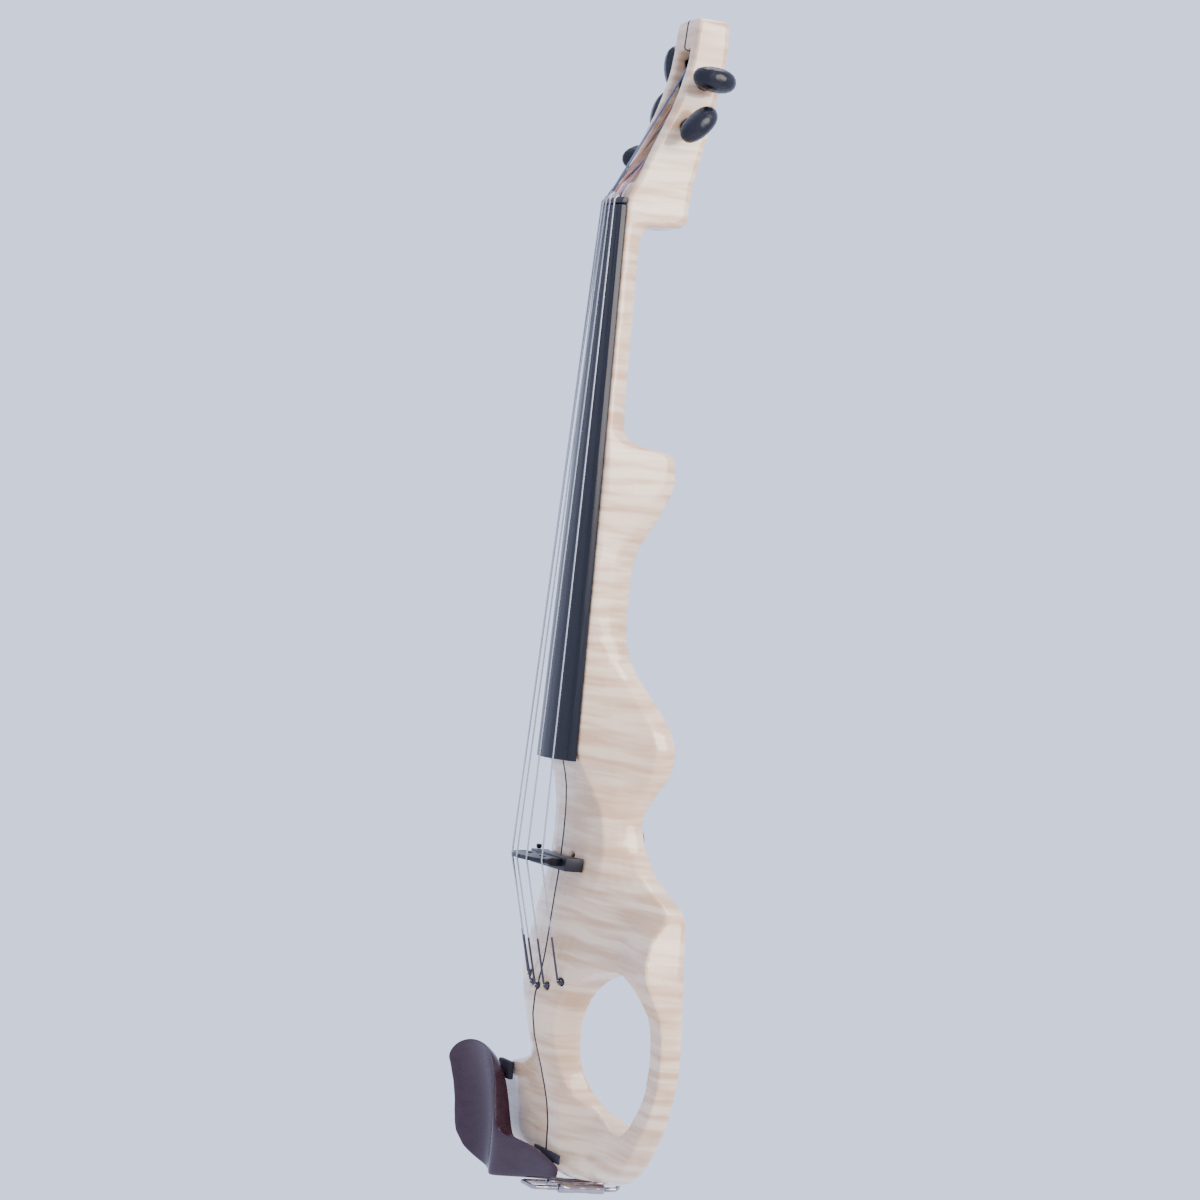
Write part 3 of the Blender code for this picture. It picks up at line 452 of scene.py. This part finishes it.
class ViolinSizes(bpy.types.PropertyGroup):
    wood_voxel: bpy.props.FloatProperty(
        name="Wood fineness", description="Spacing of the wood's surface points",
        default=0.0009, unit="LENGTH",
    )
    wood_smoothing: bpy.props.IntProperty(
        name="Wood easing", description="How far the wood's edges are sanded round", default=7, min=0
    )
    small_voxel: bpy.props.FloatProperty(
        name="Fitting fineness", description="Spacing of a peg's surface points",
        default=0.00035, unit="LENGTH",
    )
    edge: bpy.props.FloatProperty(
        name="Edge round", description="Radius that edges are eased by", default=0.0005, unit="LENGTH"
    )
    veneer: bpy.props.FloatProperty(
        name="Veneer", description="Thickness of the dark sheet on the glue line",
        default=0.0019, unit="LENGTH",
    )
    dish: bpy.props.FloatProperty(
        name="Thumb dish", description="Depth of the hollow in a peg's thumb-piece",
        default=0.0010, unit="LENGTH",
    )
    silk_pitch: bpy.props.FloatProperty(
        name="Silk pitch", description="Distance between two turns of silk",
        default=0.00036, unit="LENGTH",
    )


class ViolinColors(bpy.types.PropertyGroup):
    maple_light: bpy.props.FloatVectorProperty(
        name="Maple, light", description="Light bands of the flame",
        default=(0.86, 0.64, 0.43), subtype="COLOR",
    )
    maple_dark: bpy.props.FloatVectorProperty(
        name="Maple, dark", description="Dark bands of the flame",
        default=(0.60, 0.36, 0.20), subtype="COLOR",
    )
    maple_blush: bpy.props.FloatVectorProperty(
        name="Maple, blush", description="Broad warm patches",
        default=(0.74, 0.46, 0.28), subtype="COLOR",
    )
    ebony: bpy.props.FloatVectorProperty(
        name="Ebony", description="Fingerboard and pegs", default=(0.004, 0.004, 0.007), subtype="COLOR"
    )
    rosewood: bpy.props.FloatVectorProperty(
        name="Rosewood", description="Chin rest", default=(0.020, 0.004, 0.011), subtype="COLOR"
    )
    plating: bpy.props.FloatVectorProperty(
        name="Plating", description="Clamp", default=(0.34, 0.31, 0.33), subtype="COLOR"
    )


def sizes():
    return bpy.context.scene.violin_sizes


def colors():
    return bpy.context.scene.violin_colors


def ebony_finish():
    made = bpy.data.materials.get("polished_ebony")
    if made:
        return made
    dark = tuple(colors().ebony)
    light = (dark[0] * 2.4, dark[1] * 2.3, dark[2] * 2.3)
    return streaked("polished_ebony", dark, light, True, 0.24, {"Specular_IOR_Level": 0.3})


def black_finish():
    made = bpy.data.materials.get("satin_black")
    if made:
        return made
    dark, light = (0.005, 0.004, 0.007), (0.012, 0.010, 0.014)
    return streaked("satin_black", dark, light, False, 0.34, {"Specular_IOR_Level": 0.3})


def plating_finish():
    return bpy.data.materials.get("plating") or plated("plating", tuple(colors().plating), 0.14)


def nickel_finish():
    return bpy.data.materials.get("black_nickel") or plated("black_nickel", (0.060, 0.056, 0.068), 0.22)


def silk_finish(name, color):
    return bpy.data.materials.get(name) or spun_silk(name, color)


class VIOLIN_OT_stage(bpy.types.Operator):
    """Camera, soft lights, pale air and a pale floor"""

    bl_idname = "violin.stage"
    bl_label = "Stage"

    def execute(self, context):
        self.camera(context.scene)
        self.air(context.scene)
        self.light("key_panel", (1.7, 0.75, 0.55), 1.5, 66.0, (1.0, 0.93, 0.86))
        self.light("top_panel", (-0.3, 0.3, 1.5), 1.2, 20.0, (1.0, 1.0, 1.0))
        self.floor()
        return {"FINISHED"}

    def camera(self, scene):
        right = Vector((math.cos(VIEW_AZIMUTH), math.sin(VIEW_AZIMUTH), 0.0))
        back = Vector((math.sin(VIEW_AZIMUTH), -math.cos(VIEW_AZIMUTH), 0.0))
        up = Vector((0.0, 0.0, 1.0))
        image_right = right * math.cos(VIEW_ROLL) + up * math.sin(VIEW_ROLL)
        image_up = up * math.cos(VIEW_ROLL) - right * math.sin(VIEW_ROLL)
        data = bpy.data.cameras.new("camera")
        data.sensor_width = 36.0
        data.lens = LENS_MM
        camera = bpy.data.objects.new("camera", data)
        turn = Matrix((image_right, image_up, back)).transposed().to_4x4()
        camera.matrix_world = Matrix.Translation(VIEW_TARGET + back * VIEW_DISTANCE) @ turn
        scene.collection.objects.link(camera)
        scene.camera = camera

    def air(self, scene):
        world = bpy.data.worlds.new("pale_air")
        world.use_nodes = True
        background = world.node_tree.nodes["Background"]
        background.inputs["Color"].default_value = (0.565, 0.64, 0.88, 1.0)
        background.inputs["Strength"].default_value = 2.0
        scene.world = world

    def light(self, name, at, size, power, color):
        data = bpy.data.lights.new(name, "AREA")
        data.shape = "DISK"
        data.size = size
        data.energy = power
        data.color = color
        panel = bpy.data.objects.new(name, data)
        panel.location = at
        panel.rotation_euler = (Vector(at) - VIEW_TARGET).to_track_quat("Z", "Y").to_euler()
        bpy.context.scene.collection.objects.link(panel)

    def floor(self):
        floor_z = cad_box[0][2] - 0.34
        bm = bmesh.new()
        bmesh.ops.create_circle(bm, cap_ends=True, segments=96, radius=1.05)
        bmesh.ops.translate(bm, vec=(0.0, 0.0, floor_z), verts=bm.verts)
        finish = Finish("pale_floor", Roughness=0.7)
        x, y, z = finish.position()
        soft = finish.noise(x * 3.0, y * 3.0, z * 3.0)
        finish.set("Base Color", finish.mix(soft, (0.70, 0.72, 0.78, 1.0), (0.74, 0.76, 0.81, 1.0)))
        mesh = to_mesh(bm, "floor")
        mesh.materials.append(finish.material)
        floor = bpy.data.objects.new("floor", mesh)
        bpy.context.scene.collection.objects.link(floor)


class VIOLIN_OT_wood(bpy.types.Operator):
    """The two maple halves and the dark veneer between them"""

    bl_idname = "violin.wood"
    bl_label = "Wood"

    def execute(self, context):
        solid = remeshed("carved_wood", joined_wood(), sizes().wood_voxel, sizes().wood_smoothing)
        edge = sizes().veneer / 2
        maple = flamed_maple(colors())
        dyed, worn = (0.008, 0.005, 0.005), (0.020, 0.013, 0.011)
        dark = streaked("dyed_veneer", dyed, worn, True, 0.45, {"Specular_IOR_Level": 0.15})
        for node, low, high, finish in (
            ("body_treble_half", edge, None, maple),
            ("body_bass_half", None, -edge, maple),
            ("center_veneer", -edge, edge, dark),
        ):
            mesh = closed_slice(solid, node + "_visual", low, high)
            show(node + "_visual", mesh, finish, (node,), sharp_angle=50.0)
        return {"FINISHED"}


class VIOLIN_OT_board(bpy.types.Operator):
    """Fingerboard and nut"""

    bl_idname = "violin.board"
    bl_label = "Fingerboard and nut"

    def execute(self, context):
        eased("fingerboard", ebony_finish(), sizes().edge)
        eased("nut", ebony_finish(), sizes().edge * 0.6)
        return {"FINISHED"}


class VIOLIN_OT_bridge(bpy.types.Operator):
    """Bridge blade, foot block and the stub its lead goes into"""

    bl_idname = "violin.bridge"
    bl_label = "Bridge"

    def execute(self, context):
        eased("bridge_blade", black_finish(), sizes().edge * 0.5)
        eased("bridge_foot_block", black_finish(), sizes().edge)
        eased("bridge_lead_stub", black_finish(), 0.0)
        return {"FINISHED"}


class VIOLIN_OT_strings(bpy.types.Operator):
    """Five strings with silk at both ends, their ferrules and ball ends"""

    bl_idname = "violin.strings"
    bl_label = "Strings"

    def execute(self, context):
        steel = wound_steel((0.62, 0.62, 0.65))
        upper = (
            ("violet_silk", (0.26, 0.18, 0.30)), ("green_silk", (0.20, 0.26, 0.22)),
            ("blue_silk", (0.17, 0.20, 0.36)), ("red_silk", (0.50, 0.20, 0.13)),
            ("plum_silk", (0.38, 0.18, 0.30)),
        )
        for index in range(1, STRING_COUNT + 1):
            eased(f"string_{index}", steel, 0.0, 60.0)
            eased(f"string_ferrule_{index}", nickel_finish(), 0.0001)
            eased(f"string_ball_{index}", nickel_finish(), 0.0)
            route = string_route(index)
            name, color = upper[index - 1]
            above_nut = route[1].lerp(route[0], NUT_SILK_START)
            self.silk(f"upper_silk_{index}", above_nut, route[0], silk_finish(name, color))
            tail_high = route[3].lerp(route[2], TAIL_SILK_END)
            dark = silk_finish("dark_silk", (0.035, 0.022, 0.040))
            self.silk(f"tail_silk_{index}", route[3], tail_high, dark)
        return {"FINISHED"}

    def silk(self, name, start, end, finish):
        mesh = wound(name, start, end, SILK_COIL_RADIUS, sizes().silk_pitch, SILK_RADIUS, finish)
        show(name, mesh, finish, body="violin")


class VIOLIN_OT_pegs(bpy.types.Operator):
    """Five pegs with dished thumb-pieces, and the string wound on each"""

    bl_idname = "violin.pegs"
    bl_label = "Pegs"

    def execute(self, context):
        for string, number in enumerate(PEG_OF_STRING, 1):
            node = f"peg_{number}"
            mesh = remeshed(node + "_visual", to_mesh(merged(node), node), sizes().small_voxel, PEG_SMOOTHING)
            axis = Vector(JOINTS[node]["pos_m"])
            self.dish(mesh, axis)
            show(node + "_visual", mesh, ebony_finish(), (node,))
            self.winding(number, axis, string_route(string)[0].x)
        return {"FINISHED"}

    def dish(self, mesh, axis):
        """Hollows both faces of the thumb-piece and leaves its rim."""
        far_x = max((abs(vert.co.x) for vert in mesh.vertices))
        middle_x = far_x - THUMB_HALF_DEEP
        inner_x = middle_x - THUMB_HALF_DEEP * THUMB_REACH_SHARE
        thumb = [vert for vert in mesh.vertices if abs(vert.co.x) > inner_x]
        widest = max(thumb, key=lambda vert: (vert.co.yz - axis.yz).length)
        wide = (widest.co.yz - axis.yz).normalized()
        thin = Vector((-wide.y, wide.x))
        for vert in thumb:
            offset = vert.co.yz - axis.yz
            w = offset.dot(wide) / (THUMB_HALF_WIDE * HOLLOW_WIDE_SHARE)
            d = (abs(vert.co.x) - middle_x) / (THUMB_HALF_DEEP * HOLLOW_DEEP_SHARE)
            hollow = max(0.0, 1.0 - w * w - d * d)
            side = math.copysign(1.0, offset.dot(thin))
            push = -thin * side * sizes().dish * hollow
            vert.co += Vector((0.0, push.x, push.y))

    def winding(self, number, axis, middle_x):
        wire = PEG_WINDING_RADIUS
        start = Vector((middle_x - PEG_WINDING_TURNS * wire, axis.y, axis.z))
        end = Vector((middle_x + PEG_WINDING_TURNS * wire, axis.y, axis.z))
        finish = silk_finish("plum_silk", (0.38, 0.18, 0.30))
        mesh = wound(f"peg_winding_{number}", start, end, PEG_WINDING_COIL_RADIUS, 2 * wire, wire, finish)
        show(f"peg_winding_{number}", mesh, finish, body=f"peg_{number}")


class VIOLIN_OT_chin_rest(bpy.types.Operator):
    """Chin rest and its cork"""

    bl_idname = "violin.chin_rest"
    bl_label = "Chin rest"

    def execute(self, context):
        dark = tuple(colors().rosewood)
        light = (dark[0] * 2.0, dark[1] * 2.2, dark[2] * 2.0)
        wood = streaked("oiled_rosewood", dark, light, False, 0.24, {"Specular_IOR_Level": 0.35})
        carved = merged("chin_rest")
        any_angle = {"angle_face_threshold": math.pi, "angle_shape_threshold": math.pi}
        bmesh.ops.join_triangles(carved, faces=carved.faces, **any_angle)
        rounding = {"levels": CHIN_REST_SUBDIVISIONS, "render_levels": CHIN_REST_SUBDIVISIONS}
        mesh = evaluated("chin_rest_visual", to_mesh(carved, "chin_rest"), [("SUBSURF", rounding)])
        show("chin_rest_visual", mesh, wood, ("chin_rest",))
        cork = pressed_cork((0.016, 0.013, 0.017))
        for node in ("cork_end_pad", "cork_wing_pad"):
            eased(node, cork, 0.0)
        return {"FINISHED"}


class VIOLIN_OT_clamp(bpy.types.Operator):
    """Wire brackets, threaded barrels and the threads between them"""

    bl_idname = "violin.clamp"
    bl_label = "Clamp"

    def execute(self, context):
        for node in ("clamp_upper_bracket", "clamp_lower_bracket"):
            eased(node, plating_finish(), 0.0, 60.0)
        for number in (1, 2):
            eased(f"clamp_barrel_{number}", plating_finish(), 0.00015)
            axis = Vector(JOINTS[f"clamp_barrel_{number}"]["pos_m"])
            barrel_low, barrel_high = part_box(f"clamp_barrel_{number}")
            for side, body, near_y, step, length in (
                ("upper", "violin", barrel_low[1], -1, UPPER_THREAD_LENGTH),
                ("lower", "clamp_foot", barrel_high[1], 1, LOWER_THREAD_LENGTH),
            ):
                name = f"clamp_thread_{number}_{side}"
                start = Vector((axis.x, near_y + step * CLAMP_THREAD_SET_BACK, axis.z))
                end = start + Vector((0.0, step * length, 0.0))
                thread = (CLAMP_THREAD_COIL_RADIUS, CLAMP_THREAD_PITCH, CLAMP_THREAD_RADIUS)
                mesh = wound(name, start, end, *thread, plating_finish())
                show(name, mesh, plating_finish(), body=body)
        return {"FINISHED"}


class VIOLIN_OT_jack(bpy.types.Operator):
    """Output jack and the lead from the bridge"""

    bl_idname = "violin.jack"
    bl_label = "Jack"

    def execute(self, context):
        eased("output_jack_socket", nickel_finish(), 0.0)
        eased("output_jack_nut", nickel_finish(), 0.00012)
        lead = pressed_cork((0.020, 0.020, 0.020))
        eased("pickup_lead", lead, 0.0)
        return {"FINISHED"}


OPERATORS = (
    VIOLIN_OT_stage, VIOLIN_OT_wood, VIOLIN_OT_board, VIOLIN_OT_bridge, VIOLIN_OT_strings,
    VIOLIN_OT_pegs, VIOLIN_OT_chin_rest, VIOLIN_OT_clamp, VIOLIN_OT_jack,
)


class VIOLIN_PT_panel(bpy.types.Panel):
    bl_label = "Electric violin"
    bl_space_type = "VIEW_3D"
    bl_region_type = "UI"
    bl_category = "Violin"

    def draw(self, context):
        for operator in OPERATORS:
            self.layout.operator(operator.bl_idname)


CLASSES = (ViolinSizes, ViolinColors, *OPERATORS, VIOLIN_PT_panel)


def register():
    for made in CLASSES:
        bpy.utils.register_class(made)
    bpy.types.Scene.violin_sizes = bpy.props.PointerProperty(type=ViolinSizes)
    bpy.types.Scene.violin_colors = bpy.props.PointerProperty(type=ViolinColors)


def unregister():
    del bpy.types.Scene.violin_colors
    del bpy.types.Scene.violin_sizes
    for made in reversed(CLASSES):
        bpy.utils.unregister_class(made)


def main():
    register()
    for operator in OPERATORS:
        group, name = operator.bl_idname.split(".")
        getattr(getattr(bpy.ops, group), name)()


if __name__ == "__main__":
    main()
